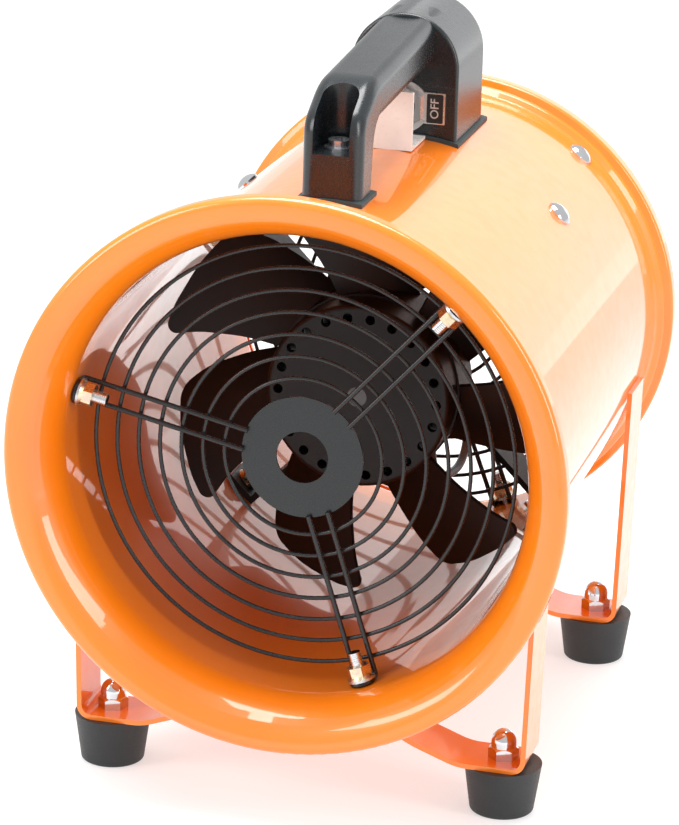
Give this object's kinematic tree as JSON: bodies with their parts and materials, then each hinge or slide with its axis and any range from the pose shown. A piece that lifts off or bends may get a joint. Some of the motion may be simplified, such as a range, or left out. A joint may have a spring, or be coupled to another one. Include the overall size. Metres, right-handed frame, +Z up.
{
  "type": "portable axial ventilator",
  "caption": "Portable axial blower: flared orange sheet-metal duct on two footed saddle legs, wire guards at both mouths, an impeller and motor inside, and a black handle with a toggle switch.",
  "frame": {"origin": "on the floor, below the middle of the duct", "axes": "+Z up, -Y out of the intake mouth, +X to the right when looking into the intake"},
  "size_m": [0.274, 0.334, 0.354],
  "materials": {
    "duct_paint": "gloss orange paint",
    "black_wire": "satin black coating",
    "impeller_black": "matt black paint",
    "bright_chrome": "bright plated",
    "yellow_zinc": "yellow passivated zinc",
    "zinc_steel": "bright zinc",
    "plain_steel": "ground steel",
    "copper": "varnished copper wire",
    "handle_plastic": "satin moulded black",
    "black_rubber": "matt",
    "grey_rubber": "matt grey",
    "lead_jacket": "satin blue-grey",
    "legend_metal": "satin with dark lettering",
    "pale_plate": "off-white",
    "grey_plastic": "light grey"
  },
  "bodies": {
    "frame": {"cable_gland": "handle_plastic", "duct_body": "duct_paint", "duct_grommet": "black_rubber", "foot_acorn_nuts": "bright_chrome", "foot_bolts": "zinc_steel", "front_bearing": "plain_steel", "front_bell": "duct_paint", "front_guard_disc": "black_wire", "front_guard_rings": "black_wire", "front_guard_spokes": "black_wire", "front_leg_bracket": "duct_paint", "gland_locknut": "handle_plastic", "guard_bolts": "bright_chrome", "guard_nuts": "yellow_zinc", "guard_washers": "zinc_steel", "handle_front_bolt": "zinc_steel", "handle_front_nut": "zinc_steel", "handle_gaskets": "grey_rubber", "handle_moulding": "handle_plastic", "handle_rear_screws": "zinc_steel", "legend_plate": "legend_metal", "motor_arm_bolts": "bright_chrome", "motor_arm_nuts": "yellow_zinc", "motor_grommet": "black_rubber", "motor_lead": "lead_jacket", "motor_spider": "impeller_black", "rear_bearing": "plain_steel", "rear_bell": "duct_paint", "rear_guard_disc": "black_wire", "rear_guard_rings": "black_wire", "rear_guard_spokes": "black_wire", "rear_leg_bracket": "duct_paint", "rubber_feet": "black_rubber", "run_capacitor": "grey_plastic", "spider_screws": "zinc_steel", "stator_carrier": "impeller_black", "stator_core": "plain_steel", "stator_windings": "copper", "switch_body": "handle_plastic", "switch_guard": "pale_plate", "switch_guard_screw": "zinc_steel", "switch_nut": "bright_chrome", "terminal_block": "grey_plastic"},
    "impeller": {"impeller_blades": "impeller_black", "blade_ring": "impeller_black", "rotor_cup": "impeller_black", "rotor_ring": "plain_steel", "motor_shaft": "plain_steel", "shaft_circlip": "plain_steel"},
    "toggle": {"toggle_lever": "bright_chrome"}
  },
  "joints": [
    {"name": "impeller_spin", "type": "hinge", "parent": "frame", "child": "impeller", "pos_m": [0, 0.0036, 0.175], "axis": [0, 1, 0], "continuous": true},
    {"name": "toggle_throw", "type": "hinge", "parent": "frame", "child": "toggle", "pos_m": [0, 0.0495, 0.3065], "axis": [0, 0, 1], "range_deg": [0, 24]}
  ]
}
